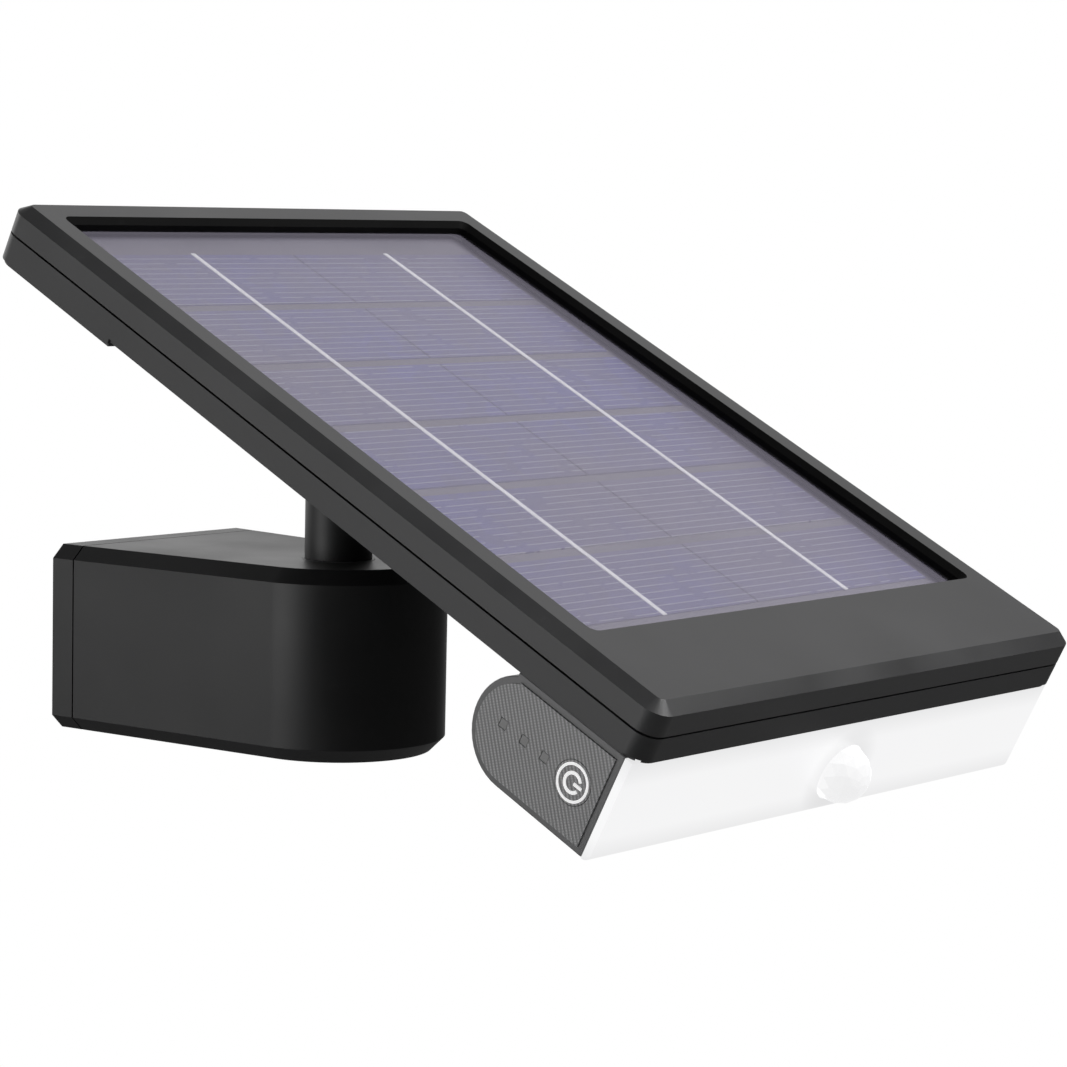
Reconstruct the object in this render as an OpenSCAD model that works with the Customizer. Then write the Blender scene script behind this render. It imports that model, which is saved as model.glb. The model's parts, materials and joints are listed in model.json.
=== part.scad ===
// Solar wall light with motion sensor: a tilting panel head with a lamp under its
// front edge, on a swivelling post that stands in a wall bracket.
// Frame: origin at the centre of the wall plate's back face, wall plane at Y = 0,
// front towards -Y, width along X, +Z up.

/* [Head] */
// Width of the panel head
head_w = 130; // [120:1:150]
// Length of the panel head along its slope
head_l = 178.2; // [170:0.1:200]
// Height of the top cover above the seam
cover_h = 6.1; // [5.9:0.1:8]
// Depth of the tray below the seam
tray_h = 5.2; // [5:0.1:7]
// Corner radius of the head seen from above
corner_r = 4; // [3:0.5:6]
// Width of the bevel round the top cover
bevel_w = 2.4; // [1:0.1:2.6]
// Height of the bevel round the top cover
bevel_h = 1.8; // [0.8:0.1:2.2]
// Downward tilt of the head's front edge at rest
head_tilt = 26.4; // [20:0.1:35]

/* [Window and cells] */
// Half width of the window at the top face
window_x = 58.2; // [56:0.1:58.4]
// Front edge of the window, from the head's centre
window_front = -66.5; // [-67:0.1:-62]
// Far edge of the window, from the head's centre
window_back = 82; // [78:0.1:82.5]
// Rows of solar cells along the slope
cell_rows = 6; // [6:1:6]
// Distance from one row of cells to the next
cell_pitch = 22.7; // [20:0.1:22.7]
// Width of one solar cell
cell_w = 55.4; // [50:0.1:55.5]
// Gap between one row of cells and the next
row_gap = 2.6; // [1.5:0.1:3]
// Gap between the two columns of cells
column_gap = 0.5; // [0.3:0.1:1.5]

/* [Lamp] */
// Depth of the lamp pod's bottom below the seam
pod_depth = 25.4; // [25:0.1:28]
// Distance of the diffuser's front face from the head's centre
lamp_front = 87.8; // [87:0.1:88.2]
// Distance of the pod's round back from the head's centre
pod_back = 54.6; // [50:0.1:56]
// Radius of the sensor lens
lens_r = 5.6; // [5:0.1:5.8]
// Distance of the sensor lens from the lamp's middle, to the right
lens_x = 2.5; // [0:0.1:3]
// Height of the sensor lens below the seam
lens_drop = 17; // [14.5:0.1:17]
// Number of light emitting diodes
led_count = 8; // [8:1:8]

/* [Bracket] */
// Width of the base at the wall
base_w = 56; // [56:3:62]
// Height of the base
base_h = 38.6; // [37.6:1:40.6]
// Distance from the wall to the post's axis
post_y = 55.1; // [54.6:0.5:56.1]
// Radius of the base's rounded nose
nose_r = 22.4; // [22.4:0.4:22.8]
// Chamfer along the base's edges
base_chamfer = 2.8; // [2.8:0.1:2.9]
// Thickness of the wall plate
plate_t = 5.5; // [5:0.5:6]
// Distance between the two wall screws
wall_screw_gap = 36; // [30:1:38]
// Radius of each wall screw hole
wall_hole_r = 2.3; // [2:0.1:2.5]
// Radius of the post
post_r = 6.9; // [6.8:0.1:7.5]
// Height of the tilt pivot above the base's top
pivot_rise = 32.7; // [32:0.1:36]

/* [Hidden] */
cells_total = 2 * cell_rows;
$fn = 64;
e = 1;               // overshoot of a cut past a face
run_gap = 0.05;      // radial clearance of a shaft that turns
wall_t = 2.2;        // housing wall
seam = 0.2;          // half of the gap along the head's seam

// head
lip_under = 3.75;    // underside of the cover's lip above the seam
glass_top = 3.4;
glass_t = 1.5;
glass_x = 58.4;
glass_front = -67.2;
glass_back = 82.6;
window_wall = 1.2;   // bevel of the window's edge
window_r = 2;
ribbon_t = 0.15;
ribbon_w = 1.1;
cell_t = 0.3;
sheet_t = 0.45;
ribbon_z = glass_top - glass_t - 0.02 - ribbon_t;
cell_z = ribbon_z - cell_t;
sheet_z = cell_z - 0.02 - sheet_t;
cells_y0 = (window_front + window_back) / 2 - cell_rows * cell_pitch / 2;
floor_z = 2 - tray_h;
screw_x = 60.6;
screw_ys = [-46, 0, 46, 80];
pad_front = 53.3;    // where the tray's raised far pad begins
pad_t = 1;

// lamp pod
pod_r = 10.2;
pod_cy = -(pod_back + pod_r);
pod_cz = pod_r - pod_depth;
pod_heel = 4.6;      // where the round back meets the tray, behind the curve's centre
pod_front = -(lamp_front - 1.8);
pod_wall = 1.8;
pod_x = head_w / 2 - 2.4;
cap_t = 1.8;
cap_x = pod_x + 0.1;
diffuser_t = 1.7;
diffuser_top = -tray_h - 0.2;
diffuser_bottom = -pod_depth;
lens_z = -lens_drop;
lens_out = 0.3;
button_y = -78.9;
button_z = -15.1;
button_r = 3.9;
button_gap = 0.1;
light_ys = [-61.6, -66.8, -71.8];
light_z = -14.8;
overlay_t = 0.35;
battery_r = 7;
battery_l = 49.2;
led_y = -76;
led_z = -15.5;
board_t = 1.6;

// bracket
base_top = base_h / 2;
pivot_z = base_top + pivot_rise;
pivot_ly = 49.15;    // pivot in the head's own frame
pivot_lz = -17.5;
ear_in = 5.4;
ear_t = 4;
ear_r = 8;
eye_half = 4.5;
eye_r = 7;
bolt_r = 2.5;
bush_in = 6;
bush_out = 7.5;
base_wall = 2.5;
head_y = -post_y - pivot_ly * cos(head_tilt) + pivot_lz * sin(head_tilt);
head_z = pivot_z - pivot_ly * sin(head_tilt) - pivot_lz * cos(head_tilt);

black = [0.13, 0.13, 0.14];
grey = [0.36, 0.36, 0.37];
steel = [0.68, 0.68, 0.7];
green = [0.1, 0.32, 0.18];

// ---------- helpers ----------

// points of a rectangle with round corners, centred on the origin
function rounded(w, l, r, n = 8) = [
    for (c = [[1, 1, 0], [-1, 1, 90], [-1, -1, 180], [1, -1, 270]])
        for (i = [0:n])
            [c[0] * (w / 2 - r) + r * cos(c[2] + 90 * i / n),
             c[1] * (l / 2 - r) + r * sin(c[2] + 90 * i / n)]];

// a slab with round corners between two heights
module slab(w, l, r, z0, z1) {
    translate([0, 0, z0])
        linear_extrude(z1 - z0)
            polygon(rounded(w, l, r));
}

// a box given by its lowest and highest corners
module box(a, b) {
    translate(a)
        cube([b[0] - a[0], b[1] - a[1], b[2] - a[2]]);
}

// the head's own frame: centre of the seam, Y up the slope
module in_head() {
    translate([0, head_y, head_z])
        rotate([head_tilt, 0, 0])
            children();
}

// an outline in the head's Y-Z plane pushed along X
module along_x(x0, x1) {
    translate([x0, 0, 0])
        rotate([90, 0, 90])
            linear_extrude(x1 - x0)
                children();
}

// a cylinder along X between two places
module rod_x(x0, x1, y, z, r) {
    translate([x0, y, z])
        rotate([0, 90, 0])
            cylinder(h = x1 - x0, r = r);
}

// points of the pod's outline, inset by d: round back that runs up into a short heel
function pod_points(d, front, top) =
    let (last = 180 - asin((pod_heel - d) / (pod_r - d)))
    concat(
        [[front, top], [front, pod_cz - pod_r + d]],
        [for (i = [0:20])
            [pod_cy + (pod_r - d) * sin(last * i / 20), pod_cz - (pod_r - d) * cos(last * i / 20)]],
        [[pod_cy + pod_heel - d, top]]);

// the base's outer shape, wide at the wall, round at the nose
module base_form(inset) {
    hull()
        for (level = [[-base_top + inset, base_chamfer],
                      [-base_top + base_chamfer, 0],
                      [base_top - base_chamfer - 0.1, 0],
                      [base_top - inset - 0.1, base_chamfer]])
            translate([0, 0, level[0]])
                linear_extrude(0.1) {
                    translate([0, -0.05])
                        square([base_w - 2 * (level[1] + inset), 0.1], center = true);
                    translate([0, -post_y])
                        circle(r = nose_r - level[1] - inset, $fn = 96);
                }
}

// a countersunk or pan head screw pointing up, its head's underside at the origin
module screw(shaft_r, shaft_l, head_r, head_h) {
    cylinder(h = shaft_l, r = shaft_r);
    difference() {
        translate([0, 0, -head_h])
            cylinder(h = head_h, r = head_r);
        for (a = [0, 90])
            rotate([0, 0, a])
                translate([0, 0, -head_h])
                    cube([head_r * 1.1, 0.5, 0.8], center = true);
    }
}

// ---------- wall bracket ----------

lug_x = 14;
lug_y = -12;
lug_r = 3.2;
lug_z = -base_top + base_wall + 0.1;

module wall_plate() {
    color(black) {
        difference() {
            base_form(0);
            translate([-base_w, -base_w * 2 - plate_t, -base_h])
                cube([base_w * 2, base_w * 2, base_h * 2]);
            for (s = [-1, 1])
                translate([s * wall_screw_gap / 2, e, 0])
                    rotate([90, 0, 0])
                        cylinder(h = plate_t + 2 * e, r = wall_hole_r);
        }
        for (s = [-1, 1])
            difference() {
                box([s * lug_x - lug_r, lug_y - lug_r, lug_z],
                    [s * lug_x + lug_r, -plate_t + 0.01, lug_z + 7]);
                translate([s * lug_x, lug_y, lug_z - e])
                    cylinder(h = 6 + e, r = 1.25);
            }
    }
}

module base_housing() {
    color(black)
        difference() {
            base_form(0);
            box([-base_w, -plate_t - 0.3, -base_h], [base_w, e, base_h]);
            translate([0, 0, 0])
                intersection() {
                    base_cavity();
                    box([-base_w, -base_w * 2, -base_top + base_wall],
                        [base_w, e, base_top - base_wall]);
                }
            translate([0, -post_y, 0])
                cylinder(h = base_h, r = bush_out);
            for (s = [-1, 1])
                translate([s * lug_x, lug_y, -base_top]) {
                    translate([0, 0, -e])
                        cylinder(h = base_wall + 2 * e, r = 1.6);
                    translate([0, 0, -e])
                        cylinder(h = 1.3 + e, r = 3);
                }
        }
}

// the space inside the base, open at the wall
module base_cavity() {
    cavity_x = base_w / 2 - base_wall;
    cavity_r = nose_r - base_wall;
    translate([0, 0, -base_h])
        linear_extrude(base_h * 2)
            polygon(concat(
                [[-cavity_x, e], [-cavity_x, -1]],
                [for (i = [0:36]) [-cavity_r * cos(5 * i), -post_y - cavity_r * sin(5 * i)]],
                [[cavity_x, -1], [cavity_x, e]]));
}

module base_screws() {
    color(steel)
        for (s = [-1, 1])
            translate([s * lug_x, lug_y, -base_top + 1.3])
                screw(1.2, 6.5, 2.8, 1.2);
}

module wall_seal() {
    seal_x = base_w / 2 - base_wall - 1;
    seal_z = base_top - base_wall - 0.3;
    color([0.06, 0.06, 0.06])
        difference() {
            box([-seal_x, -plate_t - 2.2, -seal_z], [seal_x, -plate_t, seal_z]);
            box([-seal_x + 1.6, -plate_t - 2.2 - e, -seal_z + 1.6],
                [seal_x - 1.6, -plate_t + e, seal_z - 1.6]);
            for (s = [-1, 1])
                box([s * lug_x - lug_r - 0.2, -plate_t - 2.2 - e, -seal_z - e],
                    [s * lug_x + lug_r + 0.2, -plate_t + e, -seal_z + 3]);
        }
}

// ---------- swivel ----------

bush_top = base_top + 0.05;
bush_drop = 8;       // bush length below the base's top

module swivel_bush() {
    color([0.2, 0.2, 0.21])
        translate([0, -post_y, 0])
            difference() {
                union() {
                    translate([0, 0, base_top - bush_drop])
                        cylinder(h = bush_top - base_top + bush_drop, r = bush_out);
                    translate([0, 0, base_top - base_wall - 1.6])
                        cylinder(h = 1.6, r = bush_out + 2.5);
                }
                translate([0, 0, base_top - bush_drop - e])
                    cylinder(h = bush_drop + 2 * e, r = bush_in);
            }
}

washer_z = base_top - bush_drop - 0.1;   // top of the stack under the bush
shaft_r = bush_in - run_gap;
thread_r = 5.2;
shaft_end = base_top - 17;

module post() {
    color(black)
        translate([0, -post_y, 0]) {
            difference() {
                union() {
                    translate([0, 0, bush_top + 0.1])
                        cylinder(h = pivot_z - 9.5 - bush_top - 0.1, r = post_r);
                    translate([0, 0, washer_z])
                        cylinder(h = bush_top + 0.2 - washer_z, r = shaft_r);
                    translate([0, 0, shaft_end])
                        cylinder(h = washer_z - shaft_end + 0.1, r = thread_r);
                    intersection() {
                        translate([0, 0, pivot_z - 12])
                            cylinder(h = 20, r = post_r);
                        box([-eye_half, -10, pivot_z - 12], [eye_half, 10, pivot_z]);
                    }
                    rod_x(-eye_half, eye_half, 0, pivot_z, eye_r);
                }
                rod_x(-eye_half - e, eye_half + e, 0, pivot_z, bolt_r + run_gap);
            }
        }
}

// a flat ring under the bush
module ring(z, h, r_in, r_out) {
    translate([0, -post_y, z])
        difference() {
            cylinder(h = h, r = r_out);
            translate([0, 0, -e])
                cylinder(h = h + 2 * e, r = r_in);
        }
}

module swivel_washer() {
    color(steel)
        ring(washer_z - 1.2, 1.2, thread_r + 0.02, 9.5);
}

module swivel_spring_washer() {
    color(steel)
        difference() {
            ring(washer_z - 2.4, 1.2, thread_r + 0.02, 8);
            translate([0, -post_y - 10, washer_z - 3])
                rotate([0, 0, 45])
                    cube([1, 10, 4]);
        }
}

module swivel_nut() {
    color(steel)
        translate([0, -post_y, washer_z - 6.9])
            difference() {
                cylinder(h = 4.5, r = 9.2, $fn = 6);
                translate([0, 0, -e])
                    cylinder(h = 4.5 + 2 * e, r = thread_r + 0.02);
            }
}

// ---------- tilt hinge ----------

module friction_washers() {
    color([0.75, 0.72, 0.62])
        for (s = [-1, 1])
            difference() {
                rod_x(s > 0 ? eye_half : -eye_half - 0.8, s > 0 ? eye_half + 0.8 : -eye_half,
                      -post_y, pivot_z, 6.5);
                rod_x(-eye_half - 2, eye_half + 2, -post_y, pivot_z, bolt_r + run_gap);
            }
}

bracket_top = -tray_h - pad_t;
bracket_t = 3;
bracket_half = 17;
bracket_y0 = pivot_ly - 14;
bracket_y1 = pivot_ly + 14;
bracket_hole_x = 13;
bracket_hole_y = 9.5;

module hinge_bracket() {
    color(black)
        in_head()
            difference() {
                union() {
                    box([-bracket_half, bracket_y0, bracket_top - bracket_t],
                        [bracket_half, bracket_y1, bracket_top]);
                    for (s = [-1, 1]) {
                        x0 = s > 0 ? ear_in : -ear_in - ear_t;
                        rod_x(x0, x0 + ear_t, pivot_ly, pivot_lz, ear_r);
                        box([x0, pivot_ly - ear_r, pivot_lz],
                            [x0 + ear_t, pivot_ly + ear_r, bracket_top - 1]);
                    }
                }
                rod_x(-20, 20, pivot_ly, pivot_lz, bolt_r + 0.02);
                for (x = [-bracket_hole_x, bracket_hole_x])
                    for (y = [-bracket_hole_y, bracket_hole_y])
                        translate([x, pivot_ly + y, bracket_top - bracket_t - e])
                            cylinder(h = bracket_t + 2 * e, r = 1.7);
            }
}

module hinge_screws() {
    color(steel)
        in_head()
            for (x = [-bracket_hole_x, bracket_hole_x])
                for (y = [-bracket_hole_y, bracket_hole_y])
                    translate([x, pivot_ly + y, bracket_top - bracket_t])
                        screw(1.5, 5.4, 2.8, 1.6);
}

module pivot_bolt() {
    outer = ear_in + ear_t;
    color(steel)
        in_head() {
            rod_x(-outer, outer + 5, pivot_ly, pivot_lz, bolt_r);
            difference() {
                rod_x(-outer - 2.6, -outer, pivot_ly, pivot_lz, 4.4);
                translate([-outer - 2.6 - e, pivot_ly, pivot_lz])
                    rotate([0, 90, 0])
                        cylinder(h = 1.6 + e, r = 2.2, $fn = 6);
            }
        }
}

module pivot_nut() {
    outer = ear_in + ear_t;
    color(steel)
        in_head()
            difference() {
                translate([outer, pivot_ly, pivot_lz])
                    rotate([0, 90, 0])
                        cylinder(h = 4, r = 4.6, $fn = 6);
                rod_x(outer - e, outer + 6, pivot_ly, pivot_lz, bolt_r + 0.02);
            }
}

// ---------- head ----------

module lower_housing() {
    color(black)
        in_head()
            difference() {
                union() {
                    slab(head_w - 0.8, head_l - 0.8, corner_r, -tray_h, -tray_h + 1);
                    slab(head_w, head_l, corner_r, -tray_h + 0.6, -seam);
                    intersection() {
                        union() {
                            slab(head_w - 0.8, head_l - 0.8, corner_r,
                                 -tray_h - pad_t, -tray_h + 1);
                            slab(head_w, head_l, corner_r, -tray_h - pad_t + 0.6, -seam);
                        }
                        box([-head_w, pad_front, -tray_h - pad_t], [head_w, head_l, 0]);
                    }
                    box([-bracket_half - 2, bracket_y0 - 2, -tray_h - pad_t],
                        [bracket_half + 2, pad_front + e, -tray_h + e]);
                    along_x(-pod_x, pod_x)
                        polygon(pod_points(0, pod_front, -tray_h + 1));
                }
                slab(head_w - 2 * wall_t, head_l - 2 * wall_t, corner_r - 1.5, floor_z, e);
                along_x(-pod_x - e, pod_x + e)
                    polygon(pod_points(pod_wall, pod_front - 2 * e, floor_z - 0.8));
                box([-pod_x + 4, pod_front + 2.4, floor_z - 2], [pod_x - 4, pod_cy - 1, floor_z + e]);
                for (s = [-1, 1])
                    for (y = screw_ys)
                        translate([s * screw_x, y, -tray_h]) {
                            translate([0, 0, -pad_t - e])
                                cylinder(h = 5 + e, r = 1.2);
                            translate([0, 0, -pad_t - e])
                                cylinder(h = pad_t + 0.9 + e, r = 2.4);
                        }
                for (x = [-bracket_hole_x, bracket_hole_x])
                    for (y = [-bracket_hole_y, bracket_hole_y])
                        translate([x, pivot_ly + y, -tray_h - pad_t - e])
                            cylinder(h = 5, r = 1.55);
            }
    color(black)
        in_head()
            for (x = [-36, 0, 36])
                box([x - 0.6, -8, floor_z - 0.5], [x + 0.6, 78, sheet_z - 0.05]);
}

module top_cover() {
    color([0.16, 0.16, 0.17])
        in_head() {
            difference() {
                hull() {
                    slab(head_w, head_l, corner_r, seam, cover_h - bevel_h);
                    slab(head_w - 2 * bevel_w, head_l - 2 * bevel_w, corner_r - 2.8,
                         cover_h - 0.1, cover_h);
                }
                slab(head_w - 2 * wall_t, head_l - 2 * wall_t, corner_r - 1.5, -e, lip_under);
                window_cut(window_wall, -e, cover_h + e);
                hull() {
                    window_cut(window_wall, cover_h - window_wall, cover_h - window_wall + 0.01);
                    window_cut(-0.1, cover_h + 0.1, cover_h + 0.2);
                }
            }
            for (s = [-1, 1])
                for (y = screw_ys)
                    translate([s * screw_x, y, 0])
                        difference() {
                            translate([0, 0, floor_z + 0.1])
                                cylinder(h = lip_under - floor_z, r = 1.95);
                            translate([0, 0, floor_z - e])
                                cylinder(h = 6.5, r = 1.05);
                        }
        }
}

// the window's opening, inset by d
module window_cut(d, z0, z1) {
    translate([0, (window_front + window_back) / 2, 0])
        slab(2 * (window_x - d), window_back - window_front - 2 * d, window_r - d / 2, z0, z1);
}

module cover_screws() {
    color(steel)
        in_head()
            for (s = [-1, 1])
                for (y = screw_ys)
                    translate([s * screw_x, y, -tray_h + 0.9])
                        screw(1, 6.5, 2.2, 0.9);
}

module glass_seal() {
    color([0.05, 0.05, 0.05])
        in_head()
            difference() {
                box([-glass_x, glass_front, glass_top], [glass_x, glass_back, lip_under]);
                box([-window_x + 0.9, window_front + 0.9, glass_top - e],
                    [window_x - 0.9, window_back - 0.9, lip_under + e]);
            }
}

module solar_glass() {
    color([0.75, 0.8, 0.9, 0.25])
        in_head()
            box([-glass_x, glass_front, glass_top - glass_t], [glass_x, glass_back, glass_top]);
}

module back_sheet() {
    color([0.42, 0.43, 0.46])
        in_head()
            box([-glass_x, glass_front, sheet_z], [glass_x, glass_back, sheet_z + sheet_t]);
}

// one solar cell; odd numbers are the left column
module solar_cell(i) {
    row = floor((i - 1) / 2);
    side = (i % 2 == 1) ? -1 : 1;
    y0 = cells_y0 + row * cell_pitch + row_gap / 2;
    x_mid = side * (cell_w + column_gap) / 2;
    color([0.2, 0.2, 0.38])
        in_head()
            box([x_mid - cell_w / 2, y0, cell_z],
                [x_mid + cell_w / 2, y0 + cell_pitch - row_gap, cell_z + cell_t]);
}

module cell_ribbons() {
    color([0.85, 0.85, 0.88])
        in_head()
            for (s = [-1, 1])
                box([s * (cell_w + column_gap) / 2 - ribbon_w / 2, cells_y0 + 1, ribbon_z],
                    [s * (cell_w + column_gap) / 2 + ribbon_w / 2,
                     cells_y0 + cell_rows * cell_pitch - 1, ribbon_z + ribbon_t]);
}

module main_board() {
    board_z = floor_z + 0.4;
    color(green)
        in_head() {
            box([-32, -56, board_z], [32, -14, board_z + 1.2]);
            for (p = [[-24, -48, 6], [-8, -40, 5], [10, -46, 7], [22, -28, 5]])
                box([p[0] - p[2] / 2, p[1] - p[2] / 2, board_z + 1.1],
                    [p[0] + p[2] / 2, p[1] + p[2] / 2, board_z + 2.4]);
        }
}

// ---------- lamp pod ----------

module battery_cell(i) {
    x0 = (i == 1) ? -battery_l - 1.2 : 1.2;
    color([0.15, 0.45, 0.25])
        in_head() {
            rod_x(x0, x0 + battery_l, pod_cy, pod_cz, battery_r);
            rod_x(x0 + battery_l - 0.5, x0 + battery_l + 0.9, pod_cy, pod_cz, 2.6);
        }
}

module battery_holder() {
    color([0.1, 0.1, 0.1])
        in_head() {
            difference() {
                rod_x(-53, 53, pod_cy, pod_cz, pod_r - pod_wall - 0.1);
                rod_x(-53 - e, 53 + e, pod_cy, pod_cz, battery_r + 0.1);
                box([-60, pod_cy - 12, pod_cz - 2], [60, pod_cy + 12, pod_cz + 12]);
            }
            for (x = [-53, 51.6])
                box([x, pod_cy - 7, pod_cz - 4], [x + 1.4, pod_cy + 7, pod_cz + 3]);
        }
}

module led_board() {
    color([0.92, 0.92, 0.9])
        in_head()
            difference() {
                box([-57.5, led_y, -pod_depth + 2.6], [57.5, led_y + board_t, floor_z - 0.6]);
                translate([lens_x, led_y - e, lens_z])
                    rotate([-90, 0, 0])
                        cylinder(h = board_t + 2 * e, r = 2);
            }
}

// one light emitting diode; the middle of the row is left free for the sensor
module led(i) {
    half = led_count / 2;
    side = (i <= half) ? -1 : 1;
    step = (i - 1) % half;
    x = side * (14.5 + step * 12.6);
    color([0.95, 0.85, 0.4])
        in_head()
            box([x - 1.75, led_y - 0.8, led_z - 1.4], [x + 1.75, led_y, led_z + 1.4]);
}

module reflector() {
    z0 = diffuser_bottom + 2;
    z1 = diffuser_top - 0.6;
    y0 = -lamp_front + diffuser_t + 1.4;
    y1 = led_y - 0.1;
    color([0.95, 0.95, 0.95])
        in_head() {
            difference() {
                box([-56.8, y0, z0], [56.8, y1, z1]);
                box([-55.8, y0 - e, z0 + 1], [55.8, y1 + e, z1 - 1]);
            }
            for (x = [lens_x - 9.5, lens_x + 8.5])
                box([x, y0, z0 + 0.5], [x + 1, y1, z1 - 0.5]);
        }
}

module diffuser() {
    y0 = -lamp_front;
    round_r = 1.5;
    half = head_w / 2 - 0.4;
    color([0.96, 0.96, 0.97])
        in_head()
            difference() {
                along_x(-half, half)
                    polygon(concat(
                        [[pod_front - 0.1, diffuser_bottom], [pod_front - 0.1, diffuser_top],
                         [y0, diffuser_top]],
                        [for (i = [0:6]) [y0 + round_r - round_r * cos(15 * i),
                                          diffuser_bottom + round_r - round_r * sin(15 * i)]]));
                translate([lens_x, y0 - e, lens_z])
                    rotate([-90, 0, 0])
                        cylinder(h = diffuser_t + 2 * e, r = lens_r + 0.2);
            }
}

// a plate that closes one end of the pod, with a rib that plugs into it
module end_cap(side) {
    x0 = side > 0 ? cap_x : -cap_x - cap_t;
    rib = side > 0 ? cap_x - 1.8 : -cap_x;
    along_x(x0, x0 + cap_t)
        polygon(pod_points(0, pod_front, -tray_h - 0.1));
    difference() {
        along_x(rib - 0.01, rib + 1.8 + 0.01)
            polygon(pod_points(pod_wall + 0.15, pod_front + 0.5, -tray_h - 0.4));
        along_x(rib - e, rib + 1.8 + e)
            polygon(pod_points(pod_wall + 1.6, pod_front + 2, -tray_h - 1.8));
    }
}

module left_end_cap() {
    color(grey)
        in_head()
            difference() {
                end_cap(-1);
                rod_x(-cap_x - cap_t - e, -cap_x + e, button_y, button_z, button_r + button_gap);
                for (y = light_ys)
                    box([-cap_x - cap_t - e, y - 0.9, light_z - 0.9],
                        [-cap_x + e, y + 0.9, light_z + 0.9]);
            }
}

module right_end_cap() {
    color(grey)
        in_head()
            end_cap(1);
}

module control_overlay() {
    x0 = -cap_x - cap_t - overlay_t;
    color([0.4, 0.4, 0.41])
        in_head()
            difference() {
                along_x(x0, x0 + overlay_t)
                    polygon(pod_points(1.3, pod_front + 1.3, -tray_h - 1.4));
                rod_x(x0 - e, x0 + overlay_t + e, button_y, button_z, button_r + button_gap);
                for (y = light_ys)
                    box([x0 - e, y - 0.9, light_z - 0.9], [x0 + overlay_t + e, y + 0.9, light_z + 0.9]);
            }
}

module control_board() {
    x0 = -cap_x + 3.6;
    color(green)
        in_head()
            box([x0, pod_cy - 14.5, button_z - 6], [x0 + 1.2, pod_cy + 4, button_z + 6]);
}

module power_switch() {
    x0 = -cap_x + 3.6;
    color([0.2, 0.2, 0.2])
        in_head() {
            box([x0 - 1.8, button_y - 2.2, button_z - 2.2], [x0, button_y + 2.2, button_z + 2.2]);
        }
}

module power_button() {
    x0 = -cap_x - cap_t - overlay_t - 0.03;
    color([0.42, 0.42, 0.43])
        in_head() {
            rod_x(x0, -cap_x - 0.3, button_y, button_z, button_r);
            rod_x(-cap_x - 0.4, -cap_x + 0.9, button_y, button_z, 1.6);
        }
}

module indicator_light(i) {
    y = light_ys[i - 1];
    color([0.12, 0.12, 0.13])
        in_head()
            box([-cap_x - cap_t - overlay_t + 0.05, y - 0.8, light_z - 0.8],
                [-cap_x + 2.6, y + 0.8, light_z + 0.8]);
}

module sensor_lens() {
    out = lens_out;
    flange = 0.7;
    color([0.93, 0.94, 0.96])
        in_head()
            translate([lens_x, -lamp_front, lens_z])
                rotate([90, 0, 0])
                    rotate_extrude()
                        polygon(concat(
                            [[lens_r + flange, -diffuser_t - 1.2], [lens_r + flange, -diffuser_t - 0.1],
                             [lens_r, -diffuser_t - 0.1], [lens_r, out]],
                            [for (i = [1:12]) [lens_r * cos(7.5 * i), out + lens_r * sin(7.5 * i)]],
                            [for (i = [0:11]) [(lens_r - 0.8) * sin(7.5 * i),
                                               out + (lens_r - 0.8) * cos(7.5 * i)]],
                            [[lens_r - 0.8, out], [lens_r - 0.8, -diffuser_t - 1.2]]));
}

module motion_sensor() {
    color(steel)
        in_head()
            translate([lens_x, led_y, lens_z])
                rotate([90, 0, 0]) {
                    cylinder(h = 0.6, r = 4.6);
                    cylinder(h = 4.4, r = 4);
                }
}

// ---------- one line per node ----------

wall_plate();
base_housing();
base_screws();
wall_seal();
swivel_bush();
post();
swivel_washer();
swivel_spring_washer();
swivel_nut();
friction_washers();
hinge_bracket();
hinge_screws();
pivot_bolt();
pivot_nut();
lower_housing();
top_cover();
cover_screws();
glass_seal();
solar_glass();
back_sheet();
cell_ribbons();
main_board();
for (i = [1:2]) battery_cell(i);
battery_holder();
led_board();
reflector();
diffuser();
left_end_cap();
right_end_cap();
control_overlay();
control_board();
power_switch();
power_button();
for (i = [1:3]) indicator_light(i);
sensor_lens();
motion_sensor();
for (i = [1:cells_total]) solar_cell(i);
for (i = [1:led_count]) led(i);
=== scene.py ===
import json
import math

import bmesh
import bpy
from mathutils import Matrix, Vector

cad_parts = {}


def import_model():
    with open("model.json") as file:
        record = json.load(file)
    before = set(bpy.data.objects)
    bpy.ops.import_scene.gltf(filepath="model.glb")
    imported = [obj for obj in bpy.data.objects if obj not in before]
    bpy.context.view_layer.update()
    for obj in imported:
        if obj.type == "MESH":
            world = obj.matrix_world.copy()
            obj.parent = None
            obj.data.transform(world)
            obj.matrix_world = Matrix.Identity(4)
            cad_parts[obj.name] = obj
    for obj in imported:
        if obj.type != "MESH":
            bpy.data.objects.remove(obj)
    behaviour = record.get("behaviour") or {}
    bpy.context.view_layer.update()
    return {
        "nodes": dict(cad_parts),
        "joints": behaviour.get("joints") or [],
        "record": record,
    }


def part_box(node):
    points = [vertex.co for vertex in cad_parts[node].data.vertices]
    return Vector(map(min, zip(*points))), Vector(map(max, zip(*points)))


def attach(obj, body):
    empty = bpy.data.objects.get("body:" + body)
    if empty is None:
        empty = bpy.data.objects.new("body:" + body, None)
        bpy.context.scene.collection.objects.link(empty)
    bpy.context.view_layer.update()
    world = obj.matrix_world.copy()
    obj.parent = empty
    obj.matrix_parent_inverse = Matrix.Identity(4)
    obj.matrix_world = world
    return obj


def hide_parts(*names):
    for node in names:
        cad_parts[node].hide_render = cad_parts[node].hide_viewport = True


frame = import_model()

nodes = frame["nodes"]
MM = 0.001


# ---------- frames and places ----------

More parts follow.
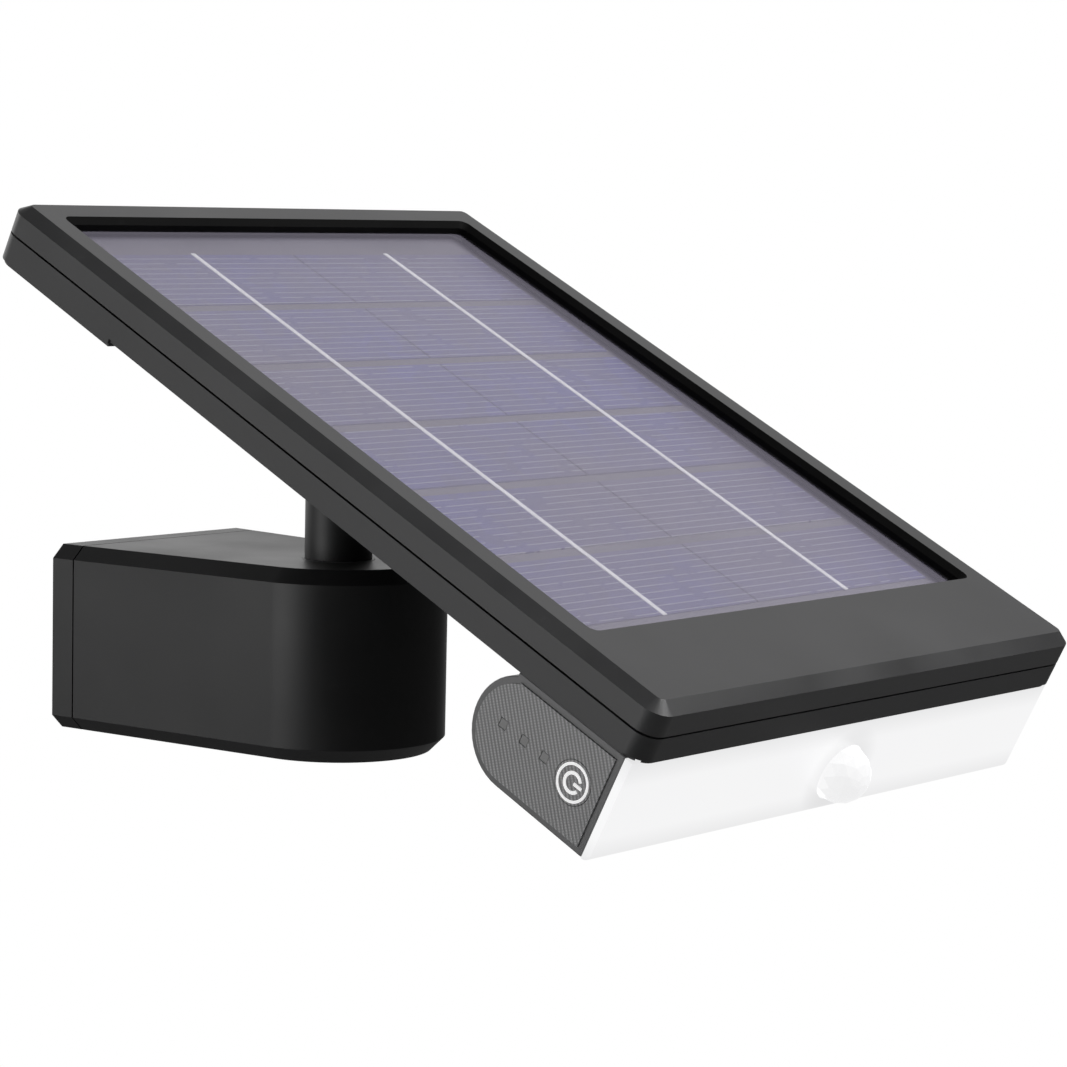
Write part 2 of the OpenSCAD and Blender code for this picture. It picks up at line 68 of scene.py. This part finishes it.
# the tilt pivot seen from the head's own centre: up the slope, and below the seam
PIVOT_UP_SLOPE = 49.15 * MM
PIVOT_BELOW_SEAM = 17.5 * MM


def largest_face_normal(obj):
    """Which way the broadest face of an object looks."""
    return max(obj.data.polygons, key=lambda p: p.area).normal.copy()


def head_matrix():
    """The head's own frame, and its tilt: origin in its seam's middle, Y up the slope, Z out of the glass."""
    up = largest_face_normal(nodes["solar_glass"])
    if up.z < 0:
        up = -up
    tilt = math.atan2(-up.y, up.z)
    pivot = Vector(next(j["pos_m"] for j in frame["joints"] if j["name"] == "head_tilt"))
    back = Matrix.Translation((0, -PIVOT_UP_SLOPE, PIVOT_BELOW_SEAM))
    return Matrix.Translation(pivot) @ Matrix.Rotation(tilt, 4, "X") @ back, tilt


HEAD, TILT = head_matrix()
TO_HEAD = HEAD.inverted()


def points_on_head(obj):
    """The points of an object's mesh in the head's own millimetres."""
    return [TO_HEAD @ (obj.matrix_world @ v.co) / MM for v in obj.data.vertices]


def corners(points):
    """Lowest and highest corner of the box round some points."""
    return [Vector(tuple(pick(p[i] for p in points) for i in range(3))) for pick in (min, max)]


# ---------- small building helpers ----------

def piece(name, bm, body, material):
    """A finished flat-shaded mesh that rides on a body."""
    mesh = bpy.data.meshes.new(name)
    bm.to_mesh(mesh)
    bm.free()
    obj = bpy.data.objects.new(name, mesh)
    bpy.context.scene.collection.objects.link(obj)
    mesh.materials.append(material)
    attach(obj, body)
    return obj


def modifier(obj, kind, **settings):
    """Adds a modifier with its settings."""
    mod = obj.modifiers.new(kind.lower(), kind)
    for key, value in settings.items():
        setattr(mod, key, value)


def place_on_head(bm):
    """Moves a mesh drawn in the head's own millimetres into the shared frame."""
    bmesh.ops.transform(bm, matrix=HEAD @ Matrix.Scale(MM, 4), verts=bm.verts)


# ---------- material helpers ----------

class Tree:
    """A short way to write a node tree."""

    def __init__(self, tree):
        self.tree = tree

    def add(self, kind, links=None, **settings):
        node = self.tree.nodes.new(kind)
        for key, value in settings.items():
            setattr(node, key, value)
        for key, value in (links or {}).items():
            self.put(node, key, value)
        return node

    def put(self, node, key, value):
        """Links a socket to an input, or sets the input to a value."""
        socket = node.inputs[key]
        if isinstance(value, bpy.types.NodeSocket):
            self.tree.links.new(value, socket)
        else:
            socket.default_value = value

    def math(self, operation, a, b=0.0):
        """One step of arithmetic; b is unused where the operation takes one number."""
        return self.add("ShaderNodeMath", {0: a, 1: b}, operation=operation).outputs[0]

    def ramp(self, value, stops):
        """Colours a value, from a list of places and the colours there."""
        node = self.add("ShaderNodeValToRGB", {"Fac": value})
        ramp = node.color_ramp
        while len(ramp.elements) < len(stops):
            ramp.elements.new(0.5)
        for element, (place, colour) in zip(ramp.elements, stops):
            element.position = place
            element.color = (*colour, 1)
        return node.outputs["Color"]

    def mix(self, factor, a, b):
        """Mixes two colours; on this node they are inputs 6 and 7, and their mix is output 2."""
        node = self.add("ShaderNodeMix", {0: factor}, data_type="RGBA")
        for key, colour in ((6, a), (7, b)):
            self.put(node, key, colour if isinstance(colour, bpy.types.NodeSocket) else (*colour, 1))
        return node.outputs[2]

    def span(self, value, low, high, to_low, to_high):
        """Turns the span from low to high into the span from to_low to to_high, and stops at its ends."""
        links = {"Value": value, "From Min": low, "From Max": high, "To Min": to_low, "To Max": to_high}
        return self.add("ShaderNodeMapRange", links).outputs[0]

    def noise(self, vector, scale, detail=3.0, rough=0.5):
        links = {"Vector": vector, "Scale": scale, "Detail": detail, "Roughness": rough}
        return self.add("ShaderNodeTexNoise", links).outputs["Fac"]

    def mix_shaders(self, factor, a, b):
        return self.add("ShaderNodeMixShader", {0: factor, 1: a, 2: b}).outputs[0]


class Material(Tree):
    """A material, its shader, and what only materials need."""

    def __init__(self, name):
        self.mat = bpy.data.materials.new(name)
        self.mat.use_nodes = True
        super().__init__(self.mat.node_tree)
        self.bsdf = self.tree.nodes["Principled BSDF"]

    def set(self, **values):
        for key, value in values.items():
            self.put(self.bsdf, key.replace("_", " "), value)

    def place(self, on_head=False):
        """Coordinates in metres, in the shared frame or in the head's own."""
        out = self.add("ShaderNodeTexCoord").outputs["Object"]
        if on_head:
            links = {"Vector": out, "Location": HEAD.to_translation(), "Rotation": (TILT, 0, 0)}
            out = self.add("ShaderNodeMapping", links, vector_type="TEXTURE").outputs[0]
        return out

    def bump(self, height, strength, depth):
        links = {"Height": height, "Strength": strength, "Distance": depth}
        self.set(Normal=self.add("ShaderNodeBump", links).outputs["Normal"])

    def paint_glow(self, strength):
        """Adds a faint even white glow of the material's own: painted light, on parts that are no lamp."""
        self.set(Emission_Color=(1, 1, 1, 1), Emission_Strength=strength)


def moulded(name, colour, rough=0.45, spark=0.22, specular=0.5, glow=0.0):
    """Plastic moulded in a spark-eroded tool: fine even grain, slight clouding, faint dust in the grain."""
    m = Material(name)
    place = m.place()
    cloud = m.noise(place, scale=38, detail=4)
    grain = m.noise(place, scale=2600, detail=2, rough=0.6)
    dust = m.noise(place, scale=420, detail=5, rough=0.65)
    dark = tuple(c * 0.82 for c in colour)
    light = tuple(c * 1.22 + 0.002 for c in colour)
    dusty = tuple(min(1, c * 2.2 + 0.02) for c in colour)
    base = m.ramp(cloud, [(0.3, dark), (0.7, light)])
    m.set(Base_Color=m.mix(m.span(dust, 0.62, 0.8, 0.0, 0.16), base, dusty),
          Roughness=m.span(cloud, 0.25, 0.75, rough - 0.05, rough + 0.06),
          Specular_IOR_Level=specular)
    m.bump(grain, strength=spark, depth=0.06 * MM)
    # a glow here is painted light: these parts are no lamp
    if glow:
        m.paint_glow(glow)
    return m.mat


def soft_metal(name, colour, rough, grain=900, metallic=1.0, glow=0.0):
    """Zinc-plated or tinned metal with fine rolling marks and cloudy passivation."""
    m = Material(name)
    place = m.place()
    cloud = m.noise(place, scale=160, detail=4)
    marks = m.noise(place, scale=grain, detail=3, rough=0.7)
    m.set(Base_Color=m.mix(cloud, tuple(c * 0.7 for c in colour), colour),
          Roughness=m.span(marks, 0.3, 0.7, rough - 0.06, rough + 0.1), Metallic=metallic)
    m.bump(marks, strength=0.12, depth=0.04 * MM)
    # a glow here is painted light: these parts are no lamp
    if glow:
        m.paint_glow(glow)
    return m.mat


# the fingers printed across the cells: from one to the next, and the share of that which is printed
FINGER_PITCH = 2.02 * MM
FINGER_SHARE = 0.13


def silicon(name):
    """Blue multicrystalline silicon: crystals of slightly different blue, crossed by printed fingers."""
    m = Material(name)
    place = m.place(on_head=True)
    up_slope = m.add("ShaderNodeSeparateXYZ", {"Vector": place}).outputs["Y"]
    crystal = m.add("ShaderNodeTexVoronoi", {"Vector": place, "Scale": 210}).outputs["Color"]
    tone = m.add("ShaderNodeSeparateColor", {"Color": crystal}).outputs[0]
    blue = m.ramp(tone, [(0.0, (0.042, 0.05, 0.24)), (0.5, (0.062, 0.072, 0.31)), (1.0, (0.09, 0.1, 0.38))])
    drift = m.span(m.noise(place, scale=14, detail=2), 0.38, 0.62, 0.0, 0.85)
    drifted = m.mix(drift, blue, (0.125, 0.115, 0.195))
    row = m.math("FRACT", m.math("DIVIDE", up_slope, FINGER_PITCH))
    unbroken = m.math("GREATER_THAN", m.noise(place, scale=160, detail=2), 0.36)
    finger = m.math("MULTIPLY", m.math("LESS_THAN", row, FINGER_SHARE), unbroken)
    m.set(Base_Color=m.mix(m.math("MULTIPLY", finger, 0.75), drifted, (0.5, 0.5, 0.56)),
          Roughness=m.span(tone, 0, 1, 0.32, 0.5))
    m.bump(finger, strength=0.3, depth=0.03 * MM)
    return m.mat


def solar_glass(name):
    """Low-iron glass with a rolled, slightly hazy face that veils the cells."""
    m = Material(name)
    place = m.place(on_head=True)
    rolled = m.noise(place, scale=900, detail=2)
    haze = m.noise(place, scale=9, detail=3)
    m.set(Base_Color=m.mix(haze, (0.33, 0.31, 0.39), (0.4, 0.375, 0.46)),
          Roughness=m.span(rolled, 0.3, 0.7, 0.24, 0.28), Alpha=0.3)
    m.bump(rolled, strength=0.015, depth=0.02 * MM)
    return m.mat


# painted shade: the glow is even up to the first distance from the row of diodes, and down to its edge share
# at the second, so the opal is darker towards its top and bottom
LED_ROW_BELOW_SEAM = 15.5 * MM
EVEN_GLOW_END, EDGE_GLOW_START = 5 * MM, 10.5 * MM
EDGE_GLOW_SHARE = 0.87
# painted shadow: the diffuser glows less round the sensor's lens
LENS_X, LENS_BELOW_SEAM = 2.5 * MM, 17 * MM
LENS_SHADE_START, LENS_SHADE_END = 5.6 * MM, 10 * MM


def opal(name, glow, tone=0.86, rough=0.34, own=0.25, by_lens=1.0):
    """Opal plastic that glows as if lit from behind, brightest in front of the row of diodes, with faint flow
    clouding; the glow is partly painted light.

    own is the share of its colour that outside light shows, and by_lens the share of its glow left beside the
    sensor's lens, as painted shadow.
    """
    m = Material(name)
    place = m.place(on_head=True)
    flow = m.noise(place, scale=30, detail=3)
    grain = m.noise(place, scale=2400, detail=2)
    axes = m.add("ShaderNodeSeparateXYZ", {"Vector": place})
    across, height = axes.outputs["X"], axes.outputs["Z"]
    off_row = m.math("ABSOLUTE", m.math("ADD", height, LED_ROW_BELOW_SEAM))
    beside = m.math("POWER", m.math("SUBTRACT", across, LENS_X), 2.0)
    below = m.math("POWER", m.math("ADD", height, LENS_BELOW_SEAM), 2.0)
    from_lens = m.math("SQRT", m.math("ADD", beside, below))
    # painted shadow round the lens
    shade = m.span(from_lens, LENS_SHADE_START, LENS_SHADE_END, by_lens, 1.0)
    # painted shade: the glow fades towards the top and bottom
    strength = m.span(off_row, EVEN_GLOW_END, EDGE_GLOW_START, glow, glow * EDGE_GLOW_SHARE)
    lit = m.mix(flow, (tone - 0.02, tone - 0.02, tone - 0.01), (tone, tone, tone))
    m.set(Base_Color=m.mix(own, (0.0, 0.0, 0.0), lit), Roughness=m.span(flow, 0.3, 0.7, rough, rough + 0.08),
          Emission_Color=lit, Emission_Strength=m.math("MULTIPLY", strength, shade))
    m.bump(grain, strength=0.08, depth=0.04 * MM)
    return m.mat


# the overlay's threads: from one to the next, from knot to knot along one, the knots' share of a thread's
# height, and how far the threads lean
WEAVE_PITCH = 0.76 * MM
KNOT_PITCH = 0.62 * WEAVE_PITCH
KNOT_DEPTH = 0.22
WEAVE_TURN = math.radians(40)


def weave(name):
    """Film printed with a fine diagonal weave of light threads on dark ones."""
    m = Material(name)
    axes = m.add("ShaderNodeSeparateXYZ", {"Vector": m.place(on_head=True)})
    y, z = axes.outputs["Y"], axes.outputs["Z"]
    cos, sin = math.cos(WEAVE_TURN), math.sin(WEAVE_TURN)
    across = m.math("ADD", m.math("MULTIPLY", y, cos), m.math("MULTIPLY", z, -sin))
    along = m.math("ADD", m.math("MULTIPLY", y, sin), m.math("MULTIPLY", z, cos))
    thread = m.math("SINE", m.math("MULTIPLY", across, 2 * math.pi / WEAVE_PITCH))
    knot = m.math("SINE", m.math("MULTIPLY", along, 2 * math.pi / KNOT_PITCH))
    knotted = m.math("ADD", m.math("MULTIPLY", knot, KNOT_DEPTH), 1 - KNOT_DEPTH)
    height = m.math("MULTIPLY", m.math("ADD", thread, 1.0), knotted)
    tone = m.ramp(m.math("MULTIPLY", height, 0.5), [(0.1, (0.18, 0.18, 0.182)), (0.85, (0.37, 0.37, 0.375))])
    m.set(Base_Color=tone, Roughness=m.span(height, 0, 2, 0.5, 0.34))
    m.bump(height, strength=0.35, depth=0.06 * MM)
    return m.mat


def board(name, colour):
    """Solder mask over copper tracks."""
    m = Material(name)
    bricks = {"Vector": m.place(on_head=True), "Scale": 260, "Mortar Size": 0.03}
    tracks = m.add("ShaderNodeTexBrick", bricks).outputs["Fac"]
    over_copper = tuple(min(1, c * 1.7 + 0.01) for c in colour)
    m.set(Base_Color=m.mix(m.math("MULTIPLY", tracks, 0.6), colour, over_copper), Roughness=0.35)
    m.bump(tracks, strength=0.2, depth=0.03 * MM)
    return m.mat


# ---------- materials ----------

MAT = {
    "housing_black": moulded("housing_black", (0.02, 0.02, 0.021), rough=0.42, spark=0.18),
    "cover_black": moulded("cover_black", (0.029, 0.029, 0.03), rough=0.4, spark=0.16),
    "screw_steel": soft_metal("screw_steel", (0.6, 0.6, 0.61), rough=0.32),
    "rubber_black": moulded("rubber_black", (0.012, 0.012, 0.012), rough=0.7, spark=0.3, specular=0.3),
    "bush_plastic": moulded("bush_plastic", (0.09, 0.09, 0.092), rough=0.5),
    "panel_glass": solar_glass("panel_glass"),
    "cell_silicon": silicon("cell_silicon"),
    "back_sheet_grey": moulded("back_sheet_grey", (0.165, 0.16, 0.185), rough=0.6),
    # the ribbons' glow is painted light that brightens them
    "ribbon_metal": soft_metal("ribbon_metal", (1, 1, 1), rough=0.5, grain=2200, metallic=0.0, glow=0.3),
    "circuit_board": board("circuit_board", (0.02, 0.13, 0.06)),
    "board_white": board("board_white", (0.75, 0.75, 0.73)),
    "battery_wrap": moulded("battery_wrap", (0.04, 0.22, 0.1), rough=0.3),
    "holder_plastic": moulded("holder_plastic", (0.03, 0.03, 0.03)),
    # the reflector is no lamp: its glow is painted light
    "reflector_white": opal("reflector_white", glow=0.3, own=0.9),
    # the diffuser's glow is partly the lamp's own light and partly painted light standing in for light on its
    # face
    "diffuser_white": opal("diffuser_white", glow=1.03, own=0.06, by_lens=0.87),
    "cap_grey": moulded("cap_grey", (0.13, 0.13, 0.132), rough=0.42, spark=0.15),
    "overlay_mesh": weave("overlay_mesh"),
    "button_grey": weave("button_grey"),
    "indicator_dark": moulded("indicator_dark", (0.2, 0.2, 0.2), rough=0.3, spark=0.02),
    # the sensor's lens is no lamp: its glow is painted light
    "lens_white": opal("lens_white", glow=0.94, rough=0.1, own=0.24),
    "sensor_metal": soft_metal("sensor_metal", (0.62, 0.62, 0.64), rough=0.3),
    "led_yellow": opal("led_yellow", glow=0.2),
}

slots = {part["node"]: part["material_slot"] for part in frame["record"]["subparts"]}
for name, obj in nodes.items():
    obj.data.materials.clear()
    obj.data.materials.append(MAT[slots[name]])

# painted shade: the wall bracket and the post get a darker copy of the black plastic, standing in for the
# shade under the head
BRACKET_SHADED_BLACK = moulded("bracket_shaded_black", (0.008, 0.008, 0.0085), rough=0.44, spark=0.18, specular=0.36)
for name in ("base_housing", "wall_plate", "post"):
    nodes[name].data.materials[0] = BRACKET_SHADED_BLACK

# the cover's window stands further in than this from its edges, in the head's own millimetres
WINDOW_RIM = 3
# a face counts as upright where its normal's part along the glass's normal is under this
UPRIGHT_BELOW = 0.85


def paint_window_wall_shade():
    """The wall round the cover's window is made near black as painted shade in its recess: its faces stand
    upright inside the rim.
    """
    cover = nodes["top_cover"]
    # near black: painted shade in the window's recess
    black = moulded("window_wall_painted_shade", (0.002, 0.002, 0.002), rough=0.65, spark=0.1, specular=0.05)
    cover.data.materials.append(black)
    turn = TO_HEAD.to_3x3()
    points = points_on_head(cover)
    low, high = corners(points)
    for face in cover.data.polygons:
        upright = abs((turn @ face.normal).normalized().z) < UPRIGHT_BELOW
        centre = sum((points[i] for i in face.vertices), Vector()) / len(face.vertices)
        inside = all(low[i] + WINDOW_RIM < centre[i] < high[i] - WINDOW_RIM for i in (0, 1))
        if upright and inside:
            face.material_index = 1


paint_window_wall_shade()


# ---------- edges and shading of the CAD pieces ----------

# faces that meet at more than this keep a sharp edge, or a bevelled one
SHARP_ANGLE = math.radians(34)
# edges of moulded parts are never sharp: the width of each one's bevels, in millimetres
BEVELS = {
    "base_housing": 0.4, "wall_plate": 0.4, "lower_housing": 0.35, "top_cover": 0.35, "post": 0.25,
    "hinge_bracket": 0.5, "left_end_cap": 0.3, "right_end_cap": 0.3, "diffuser": 1.1, "swivel_bush": 0.2,
    "battery_holder": 0.2, "power_button": 0.06, "pivot_bolt": 0.15, "pivot_nut": 0.15,
}


def round_faces(name, limit):
    """A node group that shades curved faces as one and keeps edges sharper than the limit."""
    group = bpy.data.node_groups.new(name, "GeometryNodeTree")
    for way in ("INPUT", "OUTPUT"):
        group.interface.new_socket("Geometry", in_out=way, socket_type="NodeSocketGeometry")
    start = group.nodes.new("NodeGroupInput")
    end = group.nodes.new("NodeGroupOutput")
    angle = group.nodes.new("GeometryNodeInputMeshEdgeAngle")
    soft = group.nodes.new("ShaderNodeMath")
    soft.operation = "LESS_THAN"
    soft.inputs[1].default_value = limit
    edges = group.nodes.new("GeometryNodeSetShadeSmooth")
    edges.domain = "EDGE"
    faces = group.nodes.new("GeometryNodeSetShadeSmooth")
    group.links.new(angle.outputs[0], soft.inputs[0])
    group.links.new(start.outputs[0], edges.inputs["Geometry"])
    group.links.new(soft.outputs[0], edges.inputs["Shade Smooth"])
    group.links.new(edges.outputs[0], faces.inputs["Geometry"])
    group.links.new(faces.outputs[0], end.inputs[0])
    return group


ROUND = round_faces("round_faces", SHARP_ANGLE)

for name, obj in nodes.items():
    modifier(obj, "WELD", merge_threshold=0.002 * MM)
    if name in BEVELS:
        modifier(obj, "BEVEL", width=BEVELS[name] * MM, segments=3, limit_method="ANGLE",
                 angle_limit=SHARP_ANGLE)
    modifier(obj, "NODES", node_group=ROUND)
    modifier(obj, "WEIGHTED_NORMAL", keep_sharp=True)


# ---------- power mark on the button ----------

# all in millimetres: how far the mark stands out of the button's face and reaches into it, its ring, the
# open arc inside that, and the bar in the arc's gap
MARK_HEIGHT, MARK_ROOT = 0.1, 0.1
RING_RADIUS, RING_WIDTH = 3.24, 0.48
ARC_RADIUS, ARC_WIDTH = 1.7, 0.6
BAR_LENGTH, BAR_WIDTH, BAR_OUT = 1.85, 0.58, 1.25
ARC_HALF_GAP = math.radians(30)
# the straight steps that make up the ring and the arc
RING_STEPS, ARC_STEPS = 72, 44


def flat_arc(bm, centre, radius, width, start, stop, steps, x_low, x_high):
    """A raised band along an arc, drawn in the head's Y-Z plane."""
    inside, outside = radius - width / 2, radius + width / 2
    rows = []
    for i in range(steps + 1):
        a = start + (stop - start) * i / steps
        rows.append([bm.verts.new((x, centre[0] + r * math.cos(a), centre[1] + r * math.sin(a)))
                     for r, x in ((inside, x_low), (inside, x_high), (outside, x_high), (outside, x_low))])
    for a, b in zip(rows, rows[1:]):
        for i in range(4):
            j = (i + 1) % 4
            bm.faces.new((a[i], a[j], b[j], b[i]))
    if not math.isclose(stop - start, 2 * math.pi):
        bm.faces.new(rows[0])
        bm.faces.new(list(reversed(rows[-1])))


def button_place():
    """Where the button's face is, and its centre along Y and Z, in the head's own millimetres."""
    low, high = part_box("power_button")
    centre = TO_HEAD @ ((low + high) / 2)
    return low.x / MM, centre.y / MM, centre.z / MM


def power_mark():
    """Generic on/off mark: a ring round an open arc whose bar points to the lamp's front."""
    face_x, y, z = button_place()
    top, bottom = face_x - MARK_HEIGHT, face_x + MARK_ROOT
    bm = bmesh.new()
    flat_arc(bm, (y, z), RING_RADIUS, RING_WIDTH, 0, 2 * math.pi, RING_STEPS, bottom, top)
    arc_start, arc_stop = math.pi + ARC_HALF_GAP, 3 * math.pi - ARC_HALF_GAP
    flat_arc(bm, (y, z), ARC_RADIUS, ARC_WIDTH, arc_start, arc_stop, ARC_STEPS, bottom, top)
    bar = bmesh.ops.create_cube(bm, size=1)["verts"]
    bmesh.ops.scale(bm, vec=(bottom - top, BAR_LENGTH, BAR_WIDTH), verts=bar)
    bmesh.ops.translate(bm, vec=((top + bottom) / 2, y - BAR_OUT, z), verts=bar)
    bmesh.ops.remove_doubles(bm, verts=bm.verts, dist=0.0001)
    bmesh.ops.recalc_face_normals(bm, faces=bm.faces)
    place_on_head(bm)
    # the mark's glow is painted light that brightens the white print
    white = moulded("mark_white", (0.85, 0.85, 0.85), rough=0.4, spark=0.02, glow=0.4)
    piece("power_mark", bm, "button", white)


power_mark()


# ---------- faceted lens over the motion sensor ----------

# all in millimetres: how far the lens stays inside its CAD solid, its wall, and its flange
LENS_INSIDE = 0.01
LENS_WALL = 0.8
FLANGE_WIDTH, FLANGE_THICKNESS = 0.7, 1.1
# the facets round the dome, and the height of each of its rings, in degrees
LENS_FACETS = 12
RING_HEIGHTS = (20, 41, 62, 78)
# the narrow bevel between facets, on edges that turn by more than the angle
FACET_BEVEL, FACET_ANGLE = 0.1, math.radians(8)


def dome_rings(radius, middle):
    """The dome's rings as radius, depth and turn in facets, each half a facet round from the last."""
    rings = []
    for i, height in enumerate(RING_HEIGHTS):
        a = math.radians(height)
        rings.append((radius * math.cos(a), middle - radius * math.sin(a), 0 if i % 2 else 0.5))
    return rings


def facet_ring(bm, x, z, radius, depth, turn):
    """One ring of points round the lens's axis, turned by a share of a facet."""
    angles = [2 * math.pi / LENS_FACETS * (i + turn) for i in range(LENS_FACETS)]
    return [bm.verts.new((x + radius * math.cos(a), depth, z + radius * math.sin(a))) for a in angles]


def bridge(bm, a, b, turn_a, turn_b):
    """Joins two rings: by quads where they are in line, or by triangles where one is half a facet round."""
    for i in range(LENS_FACETS):
        j = (i + 1) % LENS_FACETS
        if turn_a == turn_b:
            bm.faces.new((a[i], a[j], b[j], b[i]))
        elif turn_b > turn_a:
            bm.faces.new((a[i], a[j], b[i]))
            bm.faces.new((a[j], b[j], b[i]))
        else:
            bm.faces.new((a[i], a[j], b[j]))
            bm.faces.new((a[i], b[j], b[i]))


def sensor_dome():
    """The lens as moulded: a flange behind the diffuser and a dome cut into flat facets."""
    low, high = corners(points_on_head(nodes["sensor_lens"]))
    x, z = (low.x + high.x) / 2, (low.z + high.z) / 2
    flange_r = (high.x - low.x) / 2 - LENS_INSIDE
    radius = flange_r - FLANGE_WIDTH
    back, flange_front = high.y - LENS_INSIDE, high.y - FLANGE_THICKNESS
    middle = low.y + LENS_INSIDE + radius
    outer = [(flange_r, back, 0), (flange_r, flange_front, 0), (radius, flange_front, 0), (radius, middle, 0)]
    outer += dome_rings(radius, middle)
    inner = [(radius - LENS_WALL, back, 0), (radius - LENS_WALL, middle, 0)]
    inner += dome_rings(radius - LENS_WALL, middle)
    bm = bmesh.new()
    skins = []
    for profile in (outer, inner):
        rings = [facet_ring(bm, x, z, *row) for row in profile]
        for i in range(len(rings) - 1):
            bridge(bm, rings[i], rings[i + 1], profile[i][2], profile[i + 1][2])
        bm.faces.new(rings[-1])
        skins.append(rings)
    bridge(bm, skins[0][0], skins[1][0], 0, 0)
    bmesh.ops.recalc_face_normals(bm, faces=bm.faces)
    place_on_head(bm)
    dome = piece("sensor_dome", bm, "head", MAT["lens_white"])
    modifier(dome, "BEVEL", width=FACET_BEVEL * MM, segments=2, limit_method="ANGLE", angle_limit=FACET_ANGLE)
    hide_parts("sensor_lens")


sensor_dome()


# ---------- stage, light and camera ----------

# the camera's place seen from the wall mount, and how far it turns, looks down and leans
CAMERA_PLACE = (-469.3 * MM, -500.7 * MM, 94.2 * MM)
CAMERA_TURN = math.radians(-49.99)
CAMERA_FALL = math.radians(6.085)
CAMERA_LEAN = math.radians(1.283)
CAMERA_LENS = 107.8

# the floor's middle and its radius in metres, and the sides of its outline
FLOOR_PLACE = (0, -0.1, -0.35)
FLOOR_RADIUS = 1.5
FLOOR_SIDES = 96

# the room's own dim light, and its broad glows: where from, how strong, and how narrow
AMBIENT = 0.06
GLOWS = (
    ((0.64, 0.37, 0.66), 0.6, 10),
    ((-0.95, 0.3, -0.05), 4.6, 16),
    ((0.64, 0.755, 0.1), 1.3, 10),
    ((-0.1, 0.98, 0.15), 1.6, 14),
    ((0.0, 0.3, -0.95), 0.8, 4),
)


def camera():
    """Makes the camera and gives the scene its view."""
    data = bpy.data.cameras.new("camera")
    data.lens = CAMERA_LENS
    data.sensor_width = 36
    data.clip_start = 0.01
    obj = bpy.data.objects.new("camera", data)
    turn = Matrix.Rotation(CAMERA_TURN, 4, "Z")
    fall = Matrix.Rotation(math.pi / 2 - CAMERA_FALL, 4, "X")
    lean = Matrix.Rotation(CAMERA_LEAN, 4, "Z")
    obj.matrix_world = Matrix.Translation(CAMERA_PLACE) @ turn @ fall @ lean
    bpy.context.scene.collection.objects.link(obj)
    bpy.context.scene.camera = obj


def area_light(name, place, target, size, power):
    """A soft rectangular light at a place, aimed at a target; metres and watts."""
    data = bpy.data.lights.new(name, "AREA")
    data.shape = "RECTANGLE"
    data.size, data.size_y = size
    data.energy = power
    obj = bpy.data.objects.new(name, data)
    aim = Vector(target) - Vector(place)
    obj.matrix_world = Matrix.Translation(place) @ aim.to_track_quat("-Z", "Y").to_matrix().to_4x4()
    bpy.context.scene.collection.objects.link(obj)


def seen_or_lighting(tree, lighting, seen):
    """One shader where the camera sees the surface itself, and another for the light it gives the object."""
    direct = tree.add("ShaderNodeLightPath").outputs["Is Camera Ray"]
    return tree.mix_shaders(direct, lighting, seen)


def floor():
    """A floor that looks white, lights the object as a grey one would, and is clear when seen from below."""
    bm = bmesh.new()
    bmesh.ops.create_circle(bm, cap_ends=True, radius=FLOOR_RADIUS, segments=FLOOR_SIDES)
    mesh = bpy.data.meshes.new("floor")
    bm.to_mesh(mesh)
    bm.free()
    obj = bpy.data.objects.new("floor", mesh)
    obj.location = FLOOR_PLACE
    bpy.context.scene.collection.objects.link(obj)
    m = Material("floor_white")
    tone = m.ramp(m.noise(m.place(), scale=3, detail=2), [(0.3, (0.2, 0.2, 0.2)), (0.7, (0.23, 0.23, 0.23))])
    m.set(Base_Color=tone, Roughness=0.8)
    white = m.add("ShaderNodeEmission").outputs[0]
    above = seen_or_lighting(m, m.bsdf.outputs[0], white)
    from_below = m.add("ShaderNodeNewGeometry").outputs["Backfacing"]
    clear = m.add("ShaderNodeBsdfTransparent").outputs[0]
    m.put(m.tree.nodes["Material Output"], "Surface", m.mix_shaders(from_below, above, clear))
    mesh.materials.append(m.mat)


def world():
    """A dim room with broad soft glows round the object; the camera itself sees white."""
    room = bpy.data.worlds.new("studio")
    bpy.context.scene.world = room
    room.use_nodes = True
    t = Tree(room.node_tree)
    direction = t.add("ShaderNodeTexCoord").outputs["Generated"]
    total = AMBIENT
    for aim, strength, narrow in GLOWS:
        links = {0: direction, 1: Vector(aim).normalized()}
        towards = t.add("ShaderNodeVectorMath", links, operation="DOT_PRODUCT").outputs["Value"]
        lobe = t.math("POWER", t.math("MAXIMUM", towards, 0.0), narrow)
        total = t.math("ADD", t.math("MULTIPLY", lobe, strength), total)
    lighting = t.tree.nodes["Background"]
    t.put(lighting, "Color", total)
    white = t.add("ShaderNodeBackground", {"Color": (1, 1, 1, 1)})
    both = seen_or_lighting(t, lighting.outputs[0], white.outputs[0])
    t.put(t.tree.nodes["World Output"], "Surface", both)


camera()
floor()
world()
area_light("key", place=(0.4, -0.75, 0.85), target=(0, -0.1, 0.03), size=(0.5, 0.5), power=15)

# colours are shown as they are, with no film curve
bpy.context.scene.view_settings.view_transform = "Standard"
